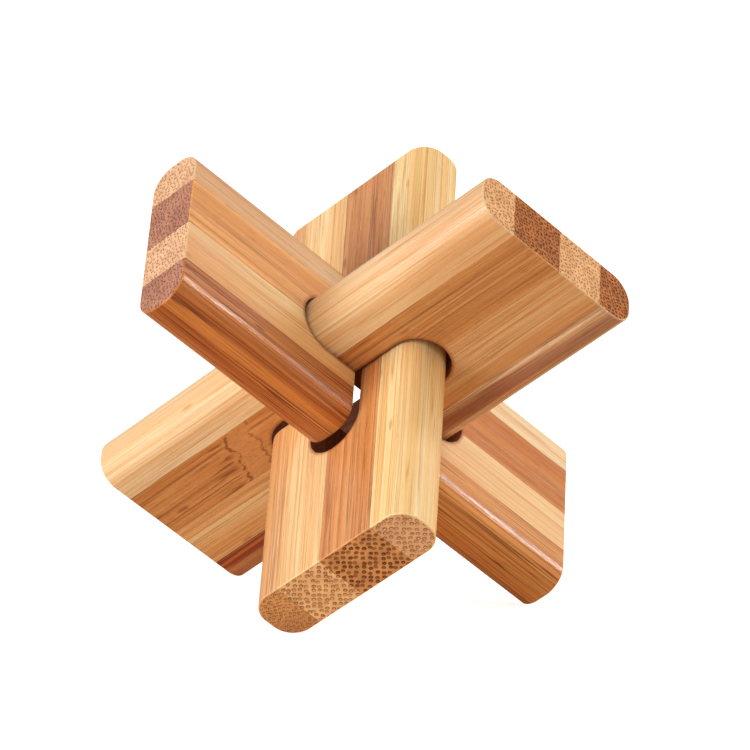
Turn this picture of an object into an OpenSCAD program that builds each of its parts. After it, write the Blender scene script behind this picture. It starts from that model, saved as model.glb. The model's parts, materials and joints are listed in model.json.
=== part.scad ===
// Three-board burr puzzle in laminated bamboo.
// Three equal boards cross at right angles through each other's slots, and the
// finished burr stands on the three lower board ends.

/* [Boards] */
// Length of each board
board_l = 60; // [56:0.5:72]
// Width of each board, across its bamboo strips
board_w = 23.4; // [22.6:0.1:23.8]
// Thickness of each board
board_t = 6.8; // [6.2:0.1:7.2]
// Radius of the rounded long edges
edge_r = 2.8; // [1:0.1:3]

/* [Slots] */
// Width of each slot
slot_w = 7.5; // [7.4:0.1:8]
// Length of the slots in the left and right boards, rounded ends included
slot_l = 25; // [24.8:0.1:26]
// Length of the slot in the front board, which is the looser one
front_slot_l = 26; // [25.2:0.1:27]
// How far the left slot sits towards its board's foot, and the right one towards its head
slot_shift = 0.35; // [0:0.05:0.4]
// Width of the channel that lets the front board pass the left board's rail
channel_w = 8; // [7.6:0.1:9]

/* [Bamboo strips] */
// Glue lines of the left board, from its middle towards its light edge
left_glue = [6.5, -0.5, -6.4];
// Glue lines of the right board
right_glue = [6.7, -0.4, -6.9];
// Glue lines of the front board
front_glue = [6.8, -0.8, -7.3];

/* [Colours] */
// Natural bamboo
light = "burlywood"; // [burlywood, wheat, tan]
// Carbonised bamboo
dark = "peru"; // [peru, sienna, saddlebrown]

/* [Hidden] */
$fn = 64;
// A cutter reaches this far past what it cuts
over = 1;
// Height of the crossing above the surface that the three lower ends stand on
rise = (board_l / 2 + (board_w + board_t) / 2 - (2 - sqrt(2)) * edge_r) / sqrt(3);
// Lean that brings the diagonal between the three boards upright
lean = acos(1 / sqrt(3));

// Every board is drawn along X with its thickness along Y and its strips stacked
// along Z, with the light edge at +Z. The end at +X is the head, at -X the foot.

// One turn moves X to Y, Y to Z and Z to X, from one board's place to the next
module turn_to_next_board() rotate([90, 0, 90]) children();

// The burr stands on the feet of its boards, with the right board's head at +X
module stand()
    translate([0, 0, rise]) rotate([-lean, 0, 0]) rotate([0, 0, 225]) children();

module left_place() stand() children();
module right_place() stand() turn_to_next_board() children();
module front_place() stand() turn_to_next_board() turn_to_next_board() children();

// Section of a board in the YZ plane with four rounded corners
module board_section() {
    flat_t = board_t - 2 * edge_r;
    flat_w = board_w - 2 * edge_r;
    square([board_t, flat_w], center = true);
    square([flat_t, board_w], center = true);
    for (y = [-1, 1], z = [-1, 1])
        translate([y * flat_t / 2, z * flat_w / 2]) circle(r = edge_r);
}

// The part of a plain board from height low to height high
module strip(low, high)
    intersection() {
        rotate([90, 0, 90]) linear_extrude(board_l, center = true) board_section();
        translate([-board_l, -board_w, low]) cube([2 * board_l, 2 * board_w, high - low]);
    }

// Routered slot along the board, with round ends and its middle at x = middle
module slot(length, middle = 0) {
    reach = (length - slot_w) / 2;
    depth = board_t + 2 * over;
    translate([middle, 0, 0]) rotate([90, 0, 0]) {
        for (side = [-1, 1])
            translate([side * reach, 0, 0]) cylinder(h = depth, d = slot_w, center = true);
        cube([2 * reach, slot_w, depth], center = true);
    }
}

// Opening from x = start to x = end through the rail below the slot
module rail_opening(start, end)
    translate([start, -board_t / 2 - over, -board_w / 2 - over])
        cube([end - start, board_t + 2 * over, board_w / 2 + over]);

// Everything on the head side (+1) or the foot side (-1) of x = at
module half(side, at)
    translate([at + side * board_l / 2, 0, 0])
        cube([board_l, 2 * board_w, 2 * board_w], center = true);

// Cuts of the three boards. The left board has a channel in the middle of its
// lower rail, the right board has its slot alone, and the front board's lower
// rail is open from its middle to the head end of its slot.
module left_cuts() {
    slot(slot_l, -slot_shift);
    rail_opening(-channel_w / 2, channel_w / 2);
}
module right_cuts() slot(slot_l, slot_shift);
module front_cuts() {
    slot(front_slot_l);
    rail_opening(-channel_w / 2, front_slot_l / 2);
}

module left_strip(low, high)
    left_place() difference() { strip(low, high); left_cuts(); }
module right_strip(low, high)
    right_place() difference() { strip(low, high); right_cuts(); }
module front_strip(low, high)
    front_place() difference() { strip(low, high); front_cuts(); }

// A lower strip is cut in two, and these keep the piece at one end of the board
module left_piece(side, low, high)
    left_place() intersection() {
        difference() { strip(low, high); left_cuts(); }
        half(side, 0);
    }
module front_piece(side, low, high)
    front_place() intersection() {
        difference() { strip(low, high); front_cuts(); }
        half(side, 0);
    }

top = board_w / 2;

module left_light_edge() color(light) left_strip(left_glue[0], top);
module left_dark_core() color(dark) left_strip(left_glue[1], left_glue[0]);
module left_light_core_head() color(light) left_piece(1, left_glue[2], left_glue[1]);
module left_light_core_foot() color(light) left_piece(-1, left_glue[2], left_glue[1]);
module left_dark_edge_head() color(dark) left_piece(1, -top, left_glue[2]);
module left_dark_edge_foot() color(dark) left_piece(-1, -top, left_glue[2]);

module right_light_edge() color(light) right_strip(right_glue[0], top);
module right_dark_core() color(dark) right_strip(right_glue[1], right_glue[0]);
module right_light_core() color(light) right_strip(right_glue[2], right_glue[1]);
module right_dark_edge() color(dark) right_strip(-top, right_glue[2]);

module front_light_edge() color(light) front_strip(front_glue[0], top);
module front_dark_core() color(dark) front_strip(front_glue[1], front_glue[0]);
module front_light_core_head() color(light) front_piece(1, front_glue[2], front_glue[1]);
module front_light_core_foot() color(light) front_piece(-1, front_glue[2], front_glue[1]);
module front_dark_edge_head() color(dark) front_piece(1, -top, front_glue[2]);
module front_dark_edge_foot() color(dark) front_piece(-1, -top, front_glue[2]);

left_light_edge();
left_dark_core();
left_light_core_head();
left_light_core_foot();
left_dark_edge_head();
left_dark_edge_foot();
right_light_edge();
right_dark_core();
right_light_core();
right_dark_edge();
front_light_edge();
front_dark_core();
front_light_core_head();
front_light_core_foot();
front_dark_edge_head();
front_dark_edge_foot();
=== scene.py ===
import json
import math
import random

import bmesh
import bpy
from mathutils import Matrix, Vector


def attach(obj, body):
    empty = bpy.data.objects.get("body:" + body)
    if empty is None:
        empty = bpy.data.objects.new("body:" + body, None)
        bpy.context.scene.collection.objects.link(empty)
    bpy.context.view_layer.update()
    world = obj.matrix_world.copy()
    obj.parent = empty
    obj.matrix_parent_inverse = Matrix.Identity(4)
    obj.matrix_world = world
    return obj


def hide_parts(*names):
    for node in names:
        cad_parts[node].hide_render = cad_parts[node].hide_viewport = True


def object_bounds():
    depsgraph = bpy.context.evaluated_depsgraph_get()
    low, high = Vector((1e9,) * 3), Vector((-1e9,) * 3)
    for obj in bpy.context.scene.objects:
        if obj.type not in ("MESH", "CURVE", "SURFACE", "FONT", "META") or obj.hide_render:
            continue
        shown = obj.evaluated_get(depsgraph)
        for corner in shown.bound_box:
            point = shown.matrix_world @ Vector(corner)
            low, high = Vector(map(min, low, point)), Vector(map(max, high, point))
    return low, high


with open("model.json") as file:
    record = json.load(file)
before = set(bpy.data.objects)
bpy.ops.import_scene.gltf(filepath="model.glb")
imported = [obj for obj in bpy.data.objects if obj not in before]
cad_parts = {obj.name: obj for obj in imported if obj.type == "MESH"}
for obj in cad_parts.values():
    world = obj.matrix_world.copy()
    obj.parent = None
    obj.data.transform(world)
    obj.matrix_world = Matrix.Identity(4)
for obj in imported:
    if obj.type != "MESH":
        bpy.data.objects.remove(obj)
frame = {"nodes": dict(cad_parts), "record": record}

# The finished look of a three-board burr puzzle in laminated bamboo. Each bamboo strip is its own
# piece: the board is shaped, slotted and eased as one block, and then cut along its glue lines.
# Boards are made in millimetres, with u along the board, v through it and w across its strips.

cad_low, cad_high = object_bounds()
MM = 0.001

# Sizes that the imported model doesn't name
EDGE_R = 2.8
SLOT_W = 7.5
SLOT_L = 25.0
FRONT_SLOT_L = 26.0
# How far the left slot sits towards its board's foot, and the right one towards its head
SLOT_SHIFT = 0.35
CHANNEL_W = 8.0
# The eased edges at the board ends and round the slots
END_EASE = 0.16
RIM_EASE = 0.07
# How far the router wandered off the slot's outline
ROUTER_JITTER = 0.025
# A cutter reaches this far past what it cuts
OVER = 1
# Edges that bend by more degrees than this are eased
SHARP_ANGLE = 40

# ---------------------------------------------------------------- the boards' places
mounts = {m["name"]: m for m in frame["record"]["mounts"]}
crossing = (cad_low + cad_high) / 2
BOARDS = ("left", "right", "front")
board_axes = [Vector(mounts[f"{b}_head_end"]["axis"]).normalized() for b in BOARDS]
half_length = (Vector(mounts["left_head_end"]["pos_m"]) - crossing).length / MM


def place(board):
    """The matrix from a board's u, v, w in millimetres to the row frame in metres."""
    i = BOARDS.index(board)
    u, v, w = (board_axes[(i + k) % 3] for k in range(3))
    turn = Matrix((u, v, w)).transposed().to_4x4()
    return Matrix.Translation(crossing) @ turn @ Matrix.Scale(MM, 4)


def extent(node, board, axis):
    """Lowest and highest value of a CAD node along one of its board's own axes."""
    back = place(board).inverted()
    values = [(back @ v.co)[axis] for v in frame["nodes"][node].data.vertices]
    return min(values), max(values)


def strips_of(board):
    """The names of a board's CAD nodes, without the board's own name."""
    return [n[len(board) + 1:] for n in frame["nodes"] if n.startswith(board + "_")]


half_thickness = extent("left_dark_core", "left", 1)[1]
half_width = extent("left_light_edge", "left", 2)[1]

# Each board's slot, from its foot end to its head end, and the open part of its lower rail
CUTS = {
    "left": {"slot": (-SLOT_L / 2 - SLOT_SHIFT, SLOT_L / 2 - SLOT_SHIFT),
             "opening": (-CHANNEL_W / 2, CHANNEL_W / 2)},
    "right": {"slot": (-SLOT_L / 2 + SLOT_SHIFT, SLOT_L / 2 + SLOT_SHIFT),
              "opening": None},
    "front": {"slot": (-FRONT_SLOT_L / 2, FRONT_SLOT_L / 2),
              "opening": (-CHANNEL_W / 2, FRONT_SLOT_L / 2)},
}


# ---------------------------------------------------------------- mesh helpers
def arc(cx, cy, radius, start, end, steps):
    """Points of an arc, in degrees."""
    angles = [math.radians(start + (end - start) * k / steps) for k in range(steps + 1)]
    return [(cx + radius * math.cos(a), cy + radius * math.sin(a)) for a in angles]


def board_section():
    """A board's section through v and w, anticlockwise."""
    points = []
    for sv, sw, start in ((1, 1, 0), (-1, 1, 90), (-1, -1, 180), (1, -1, 270)):
        cv, cw = sv * (half_thickness - EDGE_R), sw * (half_width - EDGE_R)
        points += arc(cv, cw, EDGE_R, start, start + 90, steps=14)
    return points


def cut_outline(slot, opening, seed):
    """The slot's outline in u and w, with the opening through the lower rail."""
    r = SLOT_W / 2
    middle = (slot[0] + slot[1]) / 2
    reach = (slot[1] - slot[0]) / 2 - r
    deep = half_width + OVER
    first = 0 if opening and opening[1] > middle + reach else -90
    points = arc(middle + reach, 0, r, first, 90, steps=36)
    points += [(middle + reach * (1 - k / 12), r) for k in range(1, 24)]
    points += arc(middle - reach, 0, r, 90, 270, steps=48)
    if not opening:
        points += [(middle + reach * (k / 12 - 1), -r) for k in range(1, 24)]
    draw = random.Random(seed)
    points = [(u + draw.uniform(-1, 1) * ROUTER_JITTER, w + draw.uniform(-1, 1) * ROUTER_JITTER)
              for u, w in points]
    if opening:
        start, end = opening
        points += [(start, -r), (start, -deep), (end, -deep)]
        if end < middle + reach:
            points += [(end, -r)]
    return points


def prism(outline, low, high, to_uvw):
    """A closed prism over an outline, from low to high along the axis that to_uvw gives it."""
    bm = bmesh.new()
    rings = [[bm.verts.new(to_uvw(a, b, depth)) for a, b in outline] for depth in (low, high)]
    bm.faces.new(rings[0])
    bm.faces.new(rings[1])
    count = len(outline)
    for k in range(count):
        n = (k + 1) % count
        bm.faces.new((rings[0][k], rings[0][n], rings[1][n], rings[1][k]))
    bmesh.ops.recalc_face_normals(bm, faces=bm.faces)
    return bm


def to_object(bm, name):
    mesh = bpy.data.meshes.new(name)
    bm.to_mesh(mesh)
    bm.free()
    made = bpy.data.objects.new(name, mesh)
    bpy.context.scene.collection.objects.link(made)
    return made


def subtract(block, cutter):
    """The mesh of block with cutter taken away. Both objects are used up."""
    cut = block.modifiers.new("cut", "BOOLEAN")
    cut.operation, cut.solver, cut.object = "DIFFERENCE", "EXACT", cutter
    bpy.context.view_layer.update()
    graph = bpy.context.evaluated_depsgraph_get()
    mesh = bpy.data.meshes.new_from_object(block.evaluated_get(graph), depsgraph=graph)
    for used in (block, cutter):
        bpy.data.objects.remove(used)
    return mesh


def ease(bm, chosen, width, segments):
    """Rounds off the sharp edges that are chosen."""
    edges = [e for e in bm.edges if len(e.link_faces) == 2
             and e.calc_face_angle(0) > math.radians(SHARP_ANGLE) and chosen(e)]
    bmesh.ops.bevel(bm, geom=edges, offset=width, offset_type="OFFSET", segments=segments,
                    profile=0.5, affect="EDGES", clamp_overlap=False)


def board_mesh(board):
    """The whole slotted board in u, v, w, with its edges eased."""
    block = to_object(prism(board_section(), -half_length, half_length,
                            lambda v, w, u: (u, v, w)), "block")
    cuts = CUTS[board]
    outline = cut_outline(cuts["slot"], cuts["opening"], BOARDS.index(board))
    cutter = to_object(prism(outline, -half_thickness - OVER, half_thickness + OVER,
                             lambda u, w, v: (u, v, w)), "cutter")
    mesh = subtract(block, cutter)
    bm = bmesh.new()
    bm.from_mesh(mesh)
    bpy.data.meshes.remove(mesh)
    bmesh.ops.remove_doubles(bm, verts=bm.verts, dist=1e-4)
    at_end = half_length - 1e-3
    ease(bm, lambda e: all(abs(v.co.x) > at_end for v in e.verts), END_EASE, 3)
    inner = half_length - 2 * END_EASE
    ease(bm, lambda e: all(abs(v.co.x) < inner for v in e.verts), RIM_EASE, 2)
    return bm


def cut_strip(board_bm, low, high, side):
    """The part of a board between two glue lines, and on one side of its middle if side isn't 0."""
    bm = board_bm.copy()
    planes = [((0, 0, low), (0, 0, -1)), ((0, 0, high), (0, 0, 1))]
    if side:
        planes.append(((0, 0, 0), (-side, 0, 0)))
    for point, away in planes:
        geom = bm.verts[:] + bm.edges[:] + bm.faces[:]
        bmesh.ops.bisect_plane(bm, geom=geom, dist=1e-5, plane_co=point, plane_no=away,
                               clear_outer=True)
    open_edges = [e for e in bm.edges if e.is_boundary]
    bmesh.ops.holes_fill(bm, edges=open_edges, sides=0)
    for e in open_edges:
        e.smooth = False
    bmesh.ops.dissolve_degenerate(bm, edges=bm.edges, dist=1e-5)
    return bm


def in_cut(board, centre, normal):
    """True for a face of the slot's wall or of the opening through the rail."""
    start, end = CUTS[board]["slot"]
    if not start - 2 * RIM_EASE < centre.x < end + 2 * RIM_EASE or abs(normal.y) > 0.3:
        return False
    within_slot = abs(centre.z) < SLOT_W / 2 + 2 * RIM_EASE
    return within_slot or abs(normal.x) > 0.7 and abs(centre.z) < half_width - 0.05


def finish_strip(bm, board, name):
    """Stores each point's place in the board and what kind each face is, then goes to the row frame."""
    for face in bm.faces:
        face.smooth = True
    made = to_object(bm, name)
    mesh = made.data
    grain = mesh.attributes.new("grain", "FLOAT_VECTOR", "POINT")
    for point, stored in zip(mesh.vertices, grain.data):
        stored.vector = point.co
    end = mesh.attributes.new("end", "FLOAT", "FACE")
    cut = mesh.attributes.new("cut", "FLOAT", "FACE")
    rim = mesh.attributes.new("rim", "FLOAT", "FACE")
    for k, face in enumerate(mesh.polygons):
        lengthwise = abs(face.normal.x)
        outer = abs(face.center.x) > half_length - 1.2 * END_EASE
        end.data[k].value = 1.0 if outer and lengthwise > 0.98 else 0.0
        rim.data[k].value = 1.0 if outer and 0.05 < lengthwise <= 0.98 else 0.0
        cut.data[k].value = 1.0 if in_cut(board, face.center, face.normal) else 0.0
    mesh.transform(place(board))
    if mesh.validate():
        print("repaired", name)
    weighted = made.modifiers.new("normals", "WEIGHTED_NORMAL")
    weighted.keep_sharp = True
    weighted.weight = 100
    return made


# ---------------------------------------------------------------- shader helpers
class Shader:
    """Adds nodes to one material and links them as they are made."""

    def __init__(self, name):
        self.material = bpy.data.materials.new(name)
        self.material.use_nodes = True
        self.tree = self.material.node_tree
        self.bsdf = self.tree.nodes["Principled BSDF"]

    def put(self, socket, value):
        """Links an output to a socket, or sets the socket to a number, vector or colour."""
        if isinstance(value, bpy.types.NodeSocket):
            self.tree.links.new(value, socket)
        elif value is not None:
            socket.default_value = value

    def node(self, kind, **settings):
        made = self.tree.nodes.new(kind)
        for key, value in settings.items():
            setattr(made, key, value)
        return made

    def attribute(self, name, output):
        return self.node("ShaderNodeAttribute", attribute_name=name).outputs[output]

    def math(self, operation, a, b=None, c=None, clamp=False):
        made = self.node("ShaderNodeMath", operation=operation, use_clamp=clamp)
        for socket, value in zip(made.inputs, (a, b, c)):
            self.put(socket, value)
        return made.outputs[0]

    def vector(self, operation, a, b=None, scale=None):
        made = self.node("ShaderNodeVectorMath", operation=operation)
        self.put(made.inputs[0], a)
        if b is not None:
            self.put(made.inputs[1], b)
        if scale is not None:
            self.put(made.inputs["Scale"], scale)
        return made.outputs[0]

    def split(self, value):
        made = self.node("ShaderNodeSeparateXYZ")
        self.put(made.inputs[0], value)
        return made.outputs

    def join(self, x, y, z):
        made = self.node("ShaderNodeCombineXYZ")
        for socket, value in zip(made.inputs, (x, y, z)):
            self.put(socket, value)
        return made.outputs[0]

    def noise(self, place, detail=2.0, roughness=0.5, output="Fac"):
        made = self.node("ShaderNodeTexNoise", noise_dimensions="3D")
        self.put(made.inputs["Vector"], place)
        made.inputs["Scale"].default_value = 1.0
        made.inputs["Detail"].default_value = detail
        made.inputs["Roughness"].default_value = roughness
        return made.outputs[output]

    def cells(self, place, dimensions, randomness, output="Distance"):
        made = self.node("ShaderNodeTexVoronoi", voronoi_dimensions=dimensions)
        self.put(made.inputs["Vector"], place)
        made.inputs["Scale"].default_value = 1.0
        made.inputs["Randomness"].default_value = randomness
        return made.outputs[output]

    def ramp(self, value, low, high, to_low=0.0, to_high=1.0):
        """A smooth step from to_low at low to to_high at high."""
        made = self.node("ShaderNodeMapRange", interpolation_type="SMOOTHSTEP", clamp=True)
        for socket, number in zip(made.inputs, (value, low, high, to_low, to_high)):
            self.put(socket, number)
        return made.outputs[0]

    def mix(self, factor, a, b):
        made = self.node("ShaderNodeMix", data_type="RGBA", clamp_factor=True)
        self.put(made.inputs[0], factor)
        self.put(made.inputs[6], a)
        self.put(made.inputs[7], b)
        return made.outputs[2]


def rgb(r, g, b):
    return (r, g, b, 1.0)


# Linear colours along a strip: its two main tones and its dark fibres, then how strongly its long
# dark lines and its short flecks show. A colour that multiplies it comes in from one u to another:
# partly the strip's own change of tone, partly painted light and shade along the board. A gloss
# takes the place of GLOSS.
SIDES = {
    "left_light_edge": {"pale": rgb(1.00, 0.88, 0.60), "deep": rgb(0.97, 0.70, 0.40),
                        "streak": rgb(0.58, 0.23, 0.06), "lines": 0.40, "flecks": 0.12,
                        "tint_and_shade": (-8, 20, (0.77, 0.54, 0.41))},
    "left_light_core": {"pale": rgb(0.99, 0.76, 0.42), "deep": rgb(0.94, 0.54, 0.22),
                        "streak": rgb(0.60, 0.24, 0.06), "lines": 0.40, "flecks": 0.12,
                        "tint_and_shade": (13, 28, (0.91, 0.81, 0.79))},
    # The foot piece has tones of its own: partly the strip's own tone, partly painted light
    "left_light_core_foot": {"pale": rgb(0.98, 0.76, 0.44), "deep": rgb(0.92, 0.55, 0.25),
                             "streak": rgb(0.62, 0.26, 0.07), "lines": 0.36, "flecks": 0.12},
    "right_light_edge": {"pale": rgb(0.98, 0.80, 0.51), "deep": rgb(0.92, 0.61, 0.32),
                         "streak": rgb(0.64, 0.28, 0.08), "lines": 0.44, "flecks": 0.10,
                         "tint_and_shade": (6, 26, (0.87, 0.74, 0.66))},
    "right_light_core": {"pale": rgb(0.98, 0.70, 0.36), "deep": rgb(0.84, 0.44, 0.16),
                         "streak": rgb(0.48, 0.18, 0.05), "lines": 0.42, "flecks": 0.12,
                         "tint_and_shade": (-2, 18, (0.77, 0.69, 0.67))},
    "front_light_edge": {"pale": rgb(1.00, 0.84, 0.47), "deep": rgb(0.97, 0.65, 0.28),
                         "streak": rgb(0.62, 0.26, 0.06), "lines": 0.55, "flecks": 0.10},
    "front_light_core": {"pale": rgb(0.98, 0.79, 0.46), "deep": rgb(0.91, 0.56, 0.25),
                         "streak": rgb(0.60, 0.25, 0.06), "lines": 0.55, "flecks": 0.10},
    "left_dark_core": {"pale": rgb(0.93, 0.47, 0.155), "deep": rgb(0.78, 0.32, 0.080),
                       "streak": rgb(0.32, 0.085, 0.020), "lines": 0.45, "flecks": 0.26,
                       "tint_and_shade": (2, -16, (0.82, 0.645, 0.44))},
    "right_dark_core": {"pale": rgb(0.82, 0.41, 0.15), "deep": rgb(0.66, 0.27, 0.075),
                        "streak": rgb(0.28, 0.080, 0.022), "lines": 0.62, "flecks": 0.26,
                        "tint_and_shade": (2, 16, (0.86, 0.88, 0.91))},
    "front_dark_core": {"pale": rgb(0.90, 0.46, 0.19), "deep": rgb(0.74, 0.30, 0.095),
                        "streak": rgb(0.30, 0.080, 0.026), "lines": 0.58, "flecks": 0.26,
                        "tint_and_shade": (4, 20, (0.86, 0.84, 0.86))},
    "left_dark_edge": {"pale": rgb(0.73, 0.27, 0.062), "deep": rgb(0.48, 0.13, 0.027),
                       "streak": rgb(0.17, 0.036, 0.009), "lines": 0.88, "flecks": 0.12,
                       "gloss": (0.16, 0.26)},
    # The foot piece is brighter than the head piece: partly the strip's own tone, partly painted light
    "left_dark_edge_foot": {"pale": rgb(0.90, 0.45, 0.14), "deep": rgb(0.70, 0.26, 0.065),
                            "streak": rgb(0.20, 0.045, 0.012), "lines": 0.85, "flecks": 0.12,
                            "gloss": (0.16, 0.26)},
    "right_dark_edge": {"pale": rgb(0.92, 0.66, 0.42), "deep": rgb(0.74, 0.46, 0.24),
                        "streak": rgb(0.22, 0.055, 0.018), "lines": 0.55, "flecks": 0.20,
                        "tint_and_shade": (12, -16, (0.84, 0.565, 0.39))},
    "front_dark_edge": {"pale": rgb(0.92, 0.56, 0.27), "deep": rgb(0.80, 0.40, 0.16),
                        "streak": rgb(0.38, 0.12, 0.035), "lines": 0.45, "flecks": 0.20},
}

# Linear colours of the sawn ends, with the bundles' dark rims and the hearts inside them
ENDS = {
    "left_light": (rgb(0.89, 0.55, 0.33), rgb(0.36, 0.13, 0.055), rgb(0.36, 0.13, 0.055)),
    "left_dark": (rgb(0.55, 0.255, 0.170), rgb(0.13, 0.040, 0.020), rgb(0.13, 0.040, 0.020)),
    "right_light": (rgb(0.90, 0.52, 0.25), rgb(0.34, 0.10, 0.025), rgb(0.34, 0.10, 0.025)),
    "right_dark": (rgb(0.57, 0.19, 0.045), rgb(0.055, 0.010, 0.003), rgb(0.055, 0.010, 0.003)),
    "front_light": (rgb(0.97, 0.63, 0.33), rgb(0.30, 0.095, 0.025), rgb(0.94, 0.50, 0.20)),
    "front_light_edge": (rgb(0.82, 0.50, 0.28), rgb(0.34, 0.13, 0.05), rgb(0.82, 0.50, 0.28)),
    "front_dark": (rgb(0.76, 0.36, 0.135), rgb(0.09, 0.026, 0.010), rgb(0.48, 0.17, 0.05)),
    "front_dark_edge": (rgb(0.82, 0.41, 0.16), rgb(0.24, 0.08, 0.025), rgb(0.92, 0.60, 0.28)),
}

# The bundles in the end grain: their spacing, the turn of their rows in degrees, how loose those
# rows are from 0 to 1, where a bundle's dark rim and its heart end, and how far off the middle the
# heart sits. The heart sits off to the same side in every bundle, so each dark rim is thicker on
# one side: painted shade inside the pits
NO_HEART = (0.0, 0.01)
DOTS = {"spacing": 0.46, "turn": 14, "loose": 0.68,
        "rim": (0.14, 0.32), "heart": NO_HEART, "off": 0.0}
BOLD = {"spacing": 0.47, "turn": 14, "loose": 0.62,
        "rim": (0.23, 0.37), "heart": NO_HEART, "off": 0.0}
FINE = {"spacing": 0.46, "turn": 30, "loose": 0.5,
        "rim": (0.24, 0.38), "heart": (0.12, 0.25), "off": 0.06}
SPOTS = {"spacing": 0.70, "turn": 42, "loose": 0.42,
         "rim": (0.28, 0.40), "heart": (0.08, 0.18), "off": 0.10}
RINGS = {"spacing": 0.68, "turn": 42, "loose": 0.42,
         "rim": (0.29, 0.39), "heart": (0.15, 0.25), "off": 0.07}
BUNDLES = {"right_dark": BOLD, "front_light": RINGS, "front_dark": SPOTS, "front_dark_edge": FINE}

# Linear colours of the glue lines, the scorch and painted shade of the slots, and the red heartwood
GLUE = rgb(0.16, 0.050, 0.016)
SCORCH_AND_SHADE = rgb(0.32, 0.085, 0.028)
HEARTWOOD = rgb(0.26, 0.050, 0.020)
HEARTWOOD_PALE = rgb(0.58, 0.14, 0.030)

# Roughness of the oiled sides, from the smoothest fibres to the roughest, and what a sawn end and
# a routered wall add to it
GLOSS = (0.21, 0.33)
END_ROUGHER = 0.34
WALL_ROUGHER = 0.45
# How strongly an oiled side reflects, and how much weaker a sawn end does
SIDE_SPECULAR = 0.5
END_DULLER = 0.32
OIL_IOR = 1.47
# Millimetres: the relief of the fibres, the depth of the open vessels, and how far the router's
# brown mark and the painted shade where the boards meet spread from the slot's rim
FIBRE_RELIEF = 0.030
VESSEL_DEPTH = 0.09
BROWN_AND_SHADE_REACH = 0.55
# Long dark lines lie where a noise passes a level: the changes of that noise in a millimetre across
# the fibres, the level, and how far from the level a line reaches
LONG_LINES = ((1.05, 0.50, 0.020), (1.55, 0.57, 0.026), (2.1, 0.44, 0.024))
# Each strip takes its grain from a place of its own, up to this many millimetres away
GRAIN_SHIFT = 90
# Where the growth node of the right board's dark core is along u, and its two ridges: millimetres
# from the node's crest, width and darkness
NODE_AT = -14.5
NODE_RIDGES = ((-1.6, 0.42, 0.85), (1.9, 0.30, 0.6))


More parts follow.
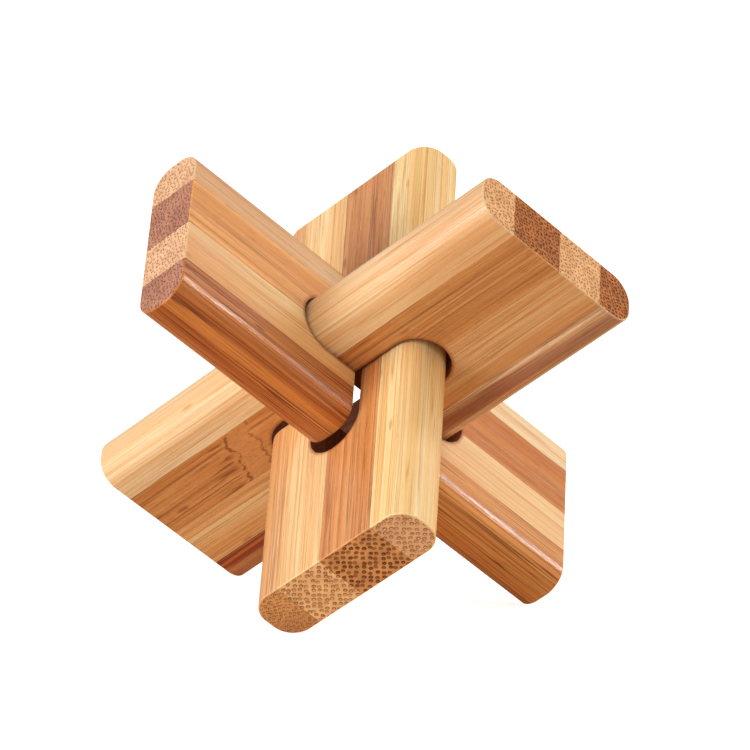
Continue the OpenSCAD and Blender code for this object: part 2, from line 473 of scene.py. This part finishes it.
def bamboo(name, side_look, end_look, bundles, seed, glue_lines, slot, node_at=None,
           red_band=False):
    """Bamboo with its fibres along u, glued at glue_lines. node_at is the u of a growth node, and
    red_band adds darker heartwood beside the glue line."""
    sawn_tone, rim_tone, heart_tone = end_look
    s = Shader(name)
    here = s.attribute("grain", "Vector")
    end = s.attribute("end", "Fac")
    cut = s.attribute("cut", "Fac")
    rim = s.attribute("rim", "Fac")
    draw = random.Random(seed)
    shift = tuple(draw.uniform(-GRAIN_SHIFT, GRAIN_SHIFT) for _ in range(3))
    moved = s.vector("ADD", here, shift)
    u_here, _, w_here = s.split(here)

    # Fibres wander a little from the board's length, and swirl at a growth node
    wander = s.noise(s.vector("MULTIPLY", moved, (0.03, 0.12, 0.12)), 1.0, output="Color")
    wander = s.vector("SCALE", s.vector("SUBTRACT", wander, (0.5, 0.5, 0.5)), scale=0.7)
    ridge = None
    if node_at is not None:
        bend = s.noise(s.vector("MULTIPLY", moved, (0.0, 0.35, 0.55)), 3.0, 0.6)
        crest = s.math("MULTIPLY_ADD", w_here, 0.35, node_at - 1.1)
        crest = s.math("MULTIPLY_ADD", s.math("SUBTRACT", bend, 0.5), 3.2, crest)
        off = s.math("SUBTRACT", u_here, crest)
        ridge = s.math("ABSOLUTE", off)
        band = s.ramp(ridge, 0.8, 4.2, 1.0, 0.0)
        swirl = s.noise(s.vector("MULTIPLY", moved, (0.25, 0.5, 0.5)), 2.0, 0.5, output="Color")
        swirl = s.vector("SUBTRACT", swirl, (0.5, 0.5, 0.5))
        swirl = s.vector("SCALE", swirl, scale=s.math("MULTIPLY", band, 1.5))
        wander = s.vector("ADD", wander, swirl)
    u, v, w = s.split(s.vector("ADD", moved, wander))

    def fibres(across, along, detail=2.0, roughness=0.55):
        """Noise with so many changes in a millimetre across the fibres, and along them."""
        return s.noise(s.join(s.math("MULTIPLY", u, along), s.math("MULTIPLY", v, across),
                              s.math("MULTIPLY", w, across)), detail, roughness)

    # Vascular bundles: rings or dots on the sawn end, which run through as streaks along the sides
    turn = math.radians(bundles["turn"])
    cos_turn, sin_turn = math.cos(turn), math.sin(turn)
    row = s.math("MULTIPLY_ADD", v, cos_turn, s.math("MULTIPLY", w, sin_turn))
    column = s.math("MULTIPLY_ADD", w, cos_turn, s.math("MULTIPLY", v, -sin_turn))
    packed = s.vector("SCALE", s.join(row, column, 0.0), scale=1 / bundles["spacing"])
    radius = s.cells(packed, "2D", bundles["loose"])
    own = s.split(s.cells(packed, "2D", bundles["loose"], "Color"))
    blur = s.noise(s.vector("SCALE", moved, scale=1.5 / bundles["spacing"]), 2.0)
    uneven = s.math("MULTIPLY_ADD", s.math("SUBTRACT", blur, 0.5), 0.22, radius)
    bundle = s.ramp(uneven, *bundles["rim"], 1.0, 0.0)
    # The heart moved to the same side in every bundle paints shade on one side of each pit
    heart_at = s.vector("ADD", packed, (bundles["off"], 0.4 * bundles["off"], 0.0))
    heart = s.ramp(s.cells(heart_at, "2D", bundles["loose"]), *bundles["heart"], 1.0, 0.0)

    # Along the sides: broad bands, streaks, hair-fine fibres, short flecks and long dark lines
    pale, deep, streak = side_look["pale"], side_look["deep"], side_look["streak"]
    lines, flecks = side_look["lines"], side_look["flecks"]
    hair = fibres(5.5, 0.09, 2.0, 0.6)
    side = s.mix(s.ramp(fibres(0.45, 0.010), 0.36, 0.64), pale, deep)
    side = s.mix(s.ramp(fibres(1.5, 0.014), 0.48, 0.70, 0.0, 0.80), side, deep)
    side = s.mix(s.ramp(fibres(2.3, 0.018), 0.34, 0.47, 0.60, 0.0), side, pale)
    side = s.mix(s.ramp(fibres(1.9, 0.012), 0.55, 0.70, 0.0, 0.35), side, streak)
    side = s.mix(s.ramp(hair, 0.42, 0.66, 0.0, 0.50), side, deep)
    side = s.mix(s.ramp(hair, 0.52, 0.68, 0.0, 0.20), side, streak)
    side = s.mix(s.ramp(fibres(4.5, 0.55, 1.0), 0.56, 0.72, 0.0, flecks), side, streak)
    side = s.mix(s.math("MULTIPLY", bundle, s.math("MULTIPLY_ADD", own[0], 0.20, 0.02)), side, streak)
    for across, level, width in LONG_LINES:
        away = s.math("ABSOLUTE", s.math("SUBTRACT", fibres(across, 0.007, 1.0), level))
        side = s.mix(s.ramp(away, 0.0, width, lines, 0.0), side, streak)
    if ridge is not None:
        side = s.mix(s.ramp(ridge, 1.2, 3.0, 0.62, 0.0), side, s.mix(0.45, pale, deep))
    # The colour along the board: partly the strip's own change of tone, partly painted light and shade
    if "tint_and_shade" in side_look:
        start, end_at, tint_and_shade = side_look["tint_and_shade"]
        side = s.mix(s.ramp(u_here, start, end_at), side, s.vector("MULTIPLY", side, tint_and_shade))

    # A few small knots, the red heartwood, and the ridges and gouges of a growth node
    knot_place = s.vector("MULTIPLY", moved, (0.085, 0.30, 0.30))
    knot = s.ramp(s.cells(knot_place, "3D", 1.0), 0.045, 0.11, 1.0, 0.0)
    side = s.mix(s.math("MULTIPLY", knot, 0.6), side, streak)
    if red_band:
        centre = s.math("MULTIPLY_ADD", u_here, -0.028, glue_lines[-1] - 1.6)
        away = s.math("ABSOLUTE", s.math("SUBTRACT", w_here, centre))
        away = s.math("MULTIPLY_ADD", s.math("SUBTRACT", hair, 0.5), 1.6, away)
        red = s.ramp(away, 0.5, 1.5, 1.0, 0.0)
        red = s.math("MULTIPLY", red, s.ramp(u_here, -20, 30, 0.94, 0.66))
        heartwood = s.mix(s.ramp(fibres(1.3, 0.03), 0.50, 0.66), HEARTWOOD, HEARTWOOD_PALE)
        side = s.mix(red, side, heartwood)
    if ridge is not None:
        broken = s.noise(s.vector("MULTIPLY", moved, (0.8, 0.9, 0.9)), 2.0)
        for at, width, depth in NODE_RIDGES:
            seam = s.ramp(s.math("ABSOLUTE", s.math("SUBTRACT", off, at)), 0.04, width, 1.0, 0.0)
            seam = s.math("MULTIPLY", seam, s.ramp(broken, 0.38, 0.48, 0.0, depth))
            side = s.mix(seam, side, streak)
        gouge = s.ramp(fibres(1.7, 0.10, 1.0), 0.56, 0.64)
        gouge = s.math("MULTIPLY", gouge, s.ramp(off, -8.0, -3.6, 0.0, 1.0))
        gouge = s.math("MULTIPLY", gouge, s.ramp(off, -3.2, -1.6, 0.8, 0.0))
        side = s.mix(gouge, side, streak)
        speck = s.noise(s.vector("MULTIPLY", moved, (2.4, 2.4, 2.4)), 2.0)
        speck = s.math("MULTIPLY", s.ramp(speck, 0.60, 0.68), s.ramp(ridge, 1.0, 3.4, 0.35, 0.0))
        side = s.mix(speck, side, streak)

    # Sawn end: blotches, and each bundle and its heart as strong as its own draw says
    blotch = s.noise(s.vector("SCALE", moved, scale=0.5), 2.0)
    sawn = s.mix(s.ramp(blotch, 0.3, 0.7, 0.0, 0.30), sawn_tone, rim_tone)
    rim_seen = s.math("MULTIPLY", bundle, s.math("MULTIPLY_ADD", own[1], 0.40, 0.55))
    sawn = s.mix(rim_seen, sawn, rim_tone)
    heart_seen = s.math("MULTIPLY", heart, s.math("MULTIPLY_ADD", own[2], 0.5, 0.4))
    sawn = s.mix(heart_seen, sawn, heart_tone)
    colour = s.mix(end, side, sawn)

    # Eased end edges lightened towards the pale tone, partly rubbed wear and partly a painted
    # highlight, and the glue lines
    colour = s.mix(s.math("MULTIPLY", rim, 0.30), colour, pale)
    for line_at in glue_lines:
        near = s.math("ABSOLUTE", s.math("SUBTRACT", w_here, line_at))
        near = s.ramp(near, 0.03, 0.12, 1.0, 0.0)
        seen = s.noise(s.vector("MULTIPLY", moved, (0.12, 0.5, 0.5)), 2.0)
        near = s.math("MULTIPLY", near, s.ramp(seen, 0.46, 0.64, 0.03, 0.70))
        colour = s.mix(near, colour, GLUE)

    # The slot's walls are darkened and its rim browned: partly router scorch, partly painted shade in
    # the slot and where the boards meet
    middle, reach = (slot[0] + slot[1]) / 2, (slot[1] - slot[0] - SLOT_W) / 2
    past = s.math("SUBTRACT", s.math("ABSOLUTE", s.math("SUBTRACT", u_here, middle)), reach)
    past = s.math("MAXIMUM", past, 0.0)
    from_rim = s.math("SQRT", s.math("ADD", s.math("MULTIPLY", past, past),
                                     s.math("MULTIPLY", w_here, w_here)))
    from_rim = s.math("MULTIPLY_ADD", s.math("SUBTRACT", hair, 0.5), 0.5, from_rim)
    browned_and_shaded = s.ramp(from_rim, SLOT_W / 2, SLOT_W / 2 + BROWN_AND_SHADE_REACH, 0.75, 0.0)
    colour = s.mix(browned_and_shaded, colour, SCORCH_AND_SHADE)
    wall = s.ramp(fibres(2.2, 0.05), 0.38, 0.62, 0.36, 0.92)
    colour = s.mix(s.math("MULTIPLY", cut, wall), colour, SCORCH_AND_SHADE)
    s.put(s.bsdf.inputs["Base Color"], colour)

    # Satin oil on the sides, dry end grain and walls
    gloss = s.ramp(hair, 0.30, 0.70, *side_look.get("gloss", GLOSS))
    rough = s.math("MULTIPLY_ADD", end, END_ROUGHER, gloss)
    rough = s.math("MULTIPLY_ADD", cut, WALL_ROUGHER, rough, clamp=True)
    s.put(s.bsdf.inputs["Roughness"], rough)
    s.bsdf.inputs["IOR"].default_value = OIL_IOR
    specular = s.math("MULTIPLY_ADD", end, -END_DULLER, SIDE_SPECULAR)
    s.put(s.bsdf.inputs["Specular IOR Level"], specular)

    # Relief: fibre grooves along the sides, open vessels on the ends
    groove = s.math("MULTIPLY", s.math("SUBTRACT", hair, 0.5), FIBRE_RELIEF)
    pit = s.math("MULTIPLY", s.math("MULTIPLY", bundle, end), -VESSEL_DEPTH)
    bump = s.node("ShaderNodeBump")
    bump.inputs["Strength"].default_value = 1.0
    bump.inputs["Distance"].default_value = MM
    s.put(bump.inputs["Height"], s.math("ADD", groove, pit))
    s.put(s.bsdf.inputs["Normal"], bump.outputs[0])
    return s.material


# ---------------------------------------------------------------- the pieces
for b, board in enumerate(BOARDS):
    whole = board_mesh(board)
    for strip in sorted(strips_of(board)):
        node = f"{board}_{strip}"
        low, high = extent(node, board, 2)
        side = {"head": 1, "foot": -1}.get(strip.rsplit("_", 1)[-1], 0)
        piece = finish_strip(cut_strip(whole, low, high, side), board, node + "_strip")
        tone = strip.split("_")[0]
        # The strip that a head or foot piece was cut from
        strip_name = "_".join(node.split("_")[:3])
        # The two pieces of a cut strip share a seed, so that the grain runs on across the gap
        seed = 100 * b + 7 * ("edge" in strip) + 3 * (tone == "dark")
        # A strip's sides are glue lines, apart from the one at the board's own edge
        glue_lines = [line for line in (high, low) if abs(line) < half_width - 0.1]
        piece.data.materials.append(bamboo(
            node + "_bamboo", SIDES.get(node) or SIDES[strip_name],
            ENDS.get(strip_name, ENDS[f"{board}_{tone}"]),
            BUNDLES.get(strip_name, BUNDLES.get(f"{board}_{tone}", DOTS)),
            seed, glue_lines, CUTS[board]["slot"],
            node_at=NODE_AT if node == "right_dark_core" else None,
            red_band=node == "right_dark_edge"))
        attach(piece, board + "_board")
        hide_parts(node)
    whole.free()


# ---------------------------------------------------------------- studio
LIGHT_DISTANCE = 0.8
FLOOR_HALF_SIDE = 4.0
# The floor as the camera sees it, how much it glows there, and the tone that it throws back
FLOOR_SEEN = rgb(0.9, 0.9, 0.9)
FLOOR_GLOW = 0.75
FLOOR_BOUNCE = rgb(0.72, 0.52, 0.33)
SKY = rgb(1.0, 0.94, 0.86)
SKY_STRENGTH = 0.5


def floor(half_side):
    """White to the camera, and dimmer and warmer in what it throws back on the wood."""
    bm = bmesh.new()
    corners = [(-1, -1), (1, -1), (1, 1), (-1, 1)]
    bm.faces.new([bm.verts.new((x * half_side, y * half_side, 0)) for x, y in corners])
    made = to_object(bm, "floor")
    s = Shader("floor_paint")
    seen = s.node("ShaderNodeLightPath").outputs["Is Camera Ray"]
    s.put(s.bsdf.inputs["Base Color"], s.mix(seen, FLOOR_BOUNCE, FLOOR_SEEN))
    s.put(s.bsdf.inputs["Emission Color"], rgb(1, 1, 1))
    s.put(s.bsdf.inputs["Emission Strength"], s.math("MULTIPLY", seen, FLOOR_GLOW))
    s.bsdf.inputs["Roughness"].default_value = 0.9
    made.data.materials.append(s.material)


def outward(azimuth, elevation):
    """The direction from the crossing to a place in the studio. Azimuth 0 is -Y, and 90 is +X."""
    a, e = math.radians(azimuth), math.radians(elevation)
    return Vector((math.sin(a) * math.cos(e), -math.cos(a) * math.cos(e), math.sin(e)))


def area_light(name, azimuth, elevation, size, power, colour=(1, 1, 1)):
    """A softbox of a width and height in metres, aimed at the crossing."""
    back = outward(azimuth, elevation)
    data = bpy.data.lights.new(name, "AREA")
    data.shape, data.size, data.size_y = "RECTANGLE", size[0], size[1]
    data.energy, data.color = power, colour
    made = bpy.data.objects.new(name, data)
    made.location = crossing + back * LIGHT_DISTANCE
    made.rotation_mode = "QUATERNION"
    made.rotation_quaternion = back.to_track_quat("Z", "Y")
    made.visible_camera = False
    bpy.context.scene.collection.objects.link(made)
    return made


floor(FLOOR_HALF_SIDE)
area_light("key_left", -55, 12, (0.40, 0.40), 4.7)
area_light("fill_right", 60, 38, (0.45, 0.45), 0.8)
area_light("key_right", 108, 26, (0.10, 0.70), 3.2, (1.0, 0.96, 0.90))
# Only the sheen along the left board's lower edge: it lights nothing else and throws no shadow.
# With multiple importance sampling on, that sheen fades out halfway to the crossing.
sheen = area_light("edge_sheen", 106, 26, (0.15, 0.90), 2.4, (1.0, 0.86, 0.74))
sheen.visible_diffuse = False
sheen.data.use_shadow = False
sheen.data.cycles.use_multiple_importance_sampling = False
sheen.light_linking.receiver_collection = bpy.data.collections.new("left_lower_edge")
for part in ("left_dark_edge_head_strip", "left_dark_edge_foot_strip"):
    sheen.light_linking.receiver_collection.objects.link(bpy.data.objects[part])

world = bpy.data.worlds.new("studio")
bpy.context.scene.world = world
world.use_nodes = True
sky = world.node_tree.nodes["Background"]
sky.inputs["Color"].default_value = SKY
sky.inputs["Strength"].default_value = SKY_STRENGTH
bpy.context.scene.view_settings.view_transform = "Standard"

# ---------------------------------------------------------------- camera
CAMERA_AZIMUTH = 1.79
CAMERA_ELEVATION = 8.01
CAMERA_DISTANCE = 0.5587
CAMERA_ROLL = 2.15
SENSOR_WIDTH = 36
LENS = 240
# The aim passes the crossing this far to the camera's right and above it
AIM_RIGHT = 1.58 * MM
AIM_UP = 0.98 * MM

camera_data = bpy.data.cameras.new("camera")
camera_data.sensor_width = SENSOR_WIDTH
camera_data.lens = LENS
camera_data.clip_start, camera_data.clip_end = 0.02, 50
camera = bpy.data.objects.new("camera", camera_data)
bpy.context.scene.collection.objects.link(camera)
back = outward(CAMERA_AZIMUTH, CAMERA_ELEVATION)
eye = crossing + back * CAMERA_DISTANCE
right = Vector((0, 0, 1)).cross(back).normalized()
up = back.cross(right)
aim = crossing + right * AIM_RIGHT + up * AIM_UP
camera.location = eye
camera.rotation_mode = "QUATERNION"
turn = (eye - aim).to_track_quat("Z", "Y")
roll = Matrix.Rotation(math.radians(CAMERA_ROLL), 3, "Z")
camera.rotation_quaternion = (turn.to_matrix() @ roll).to_quaternion()
bpy.context.scene.camera = camera
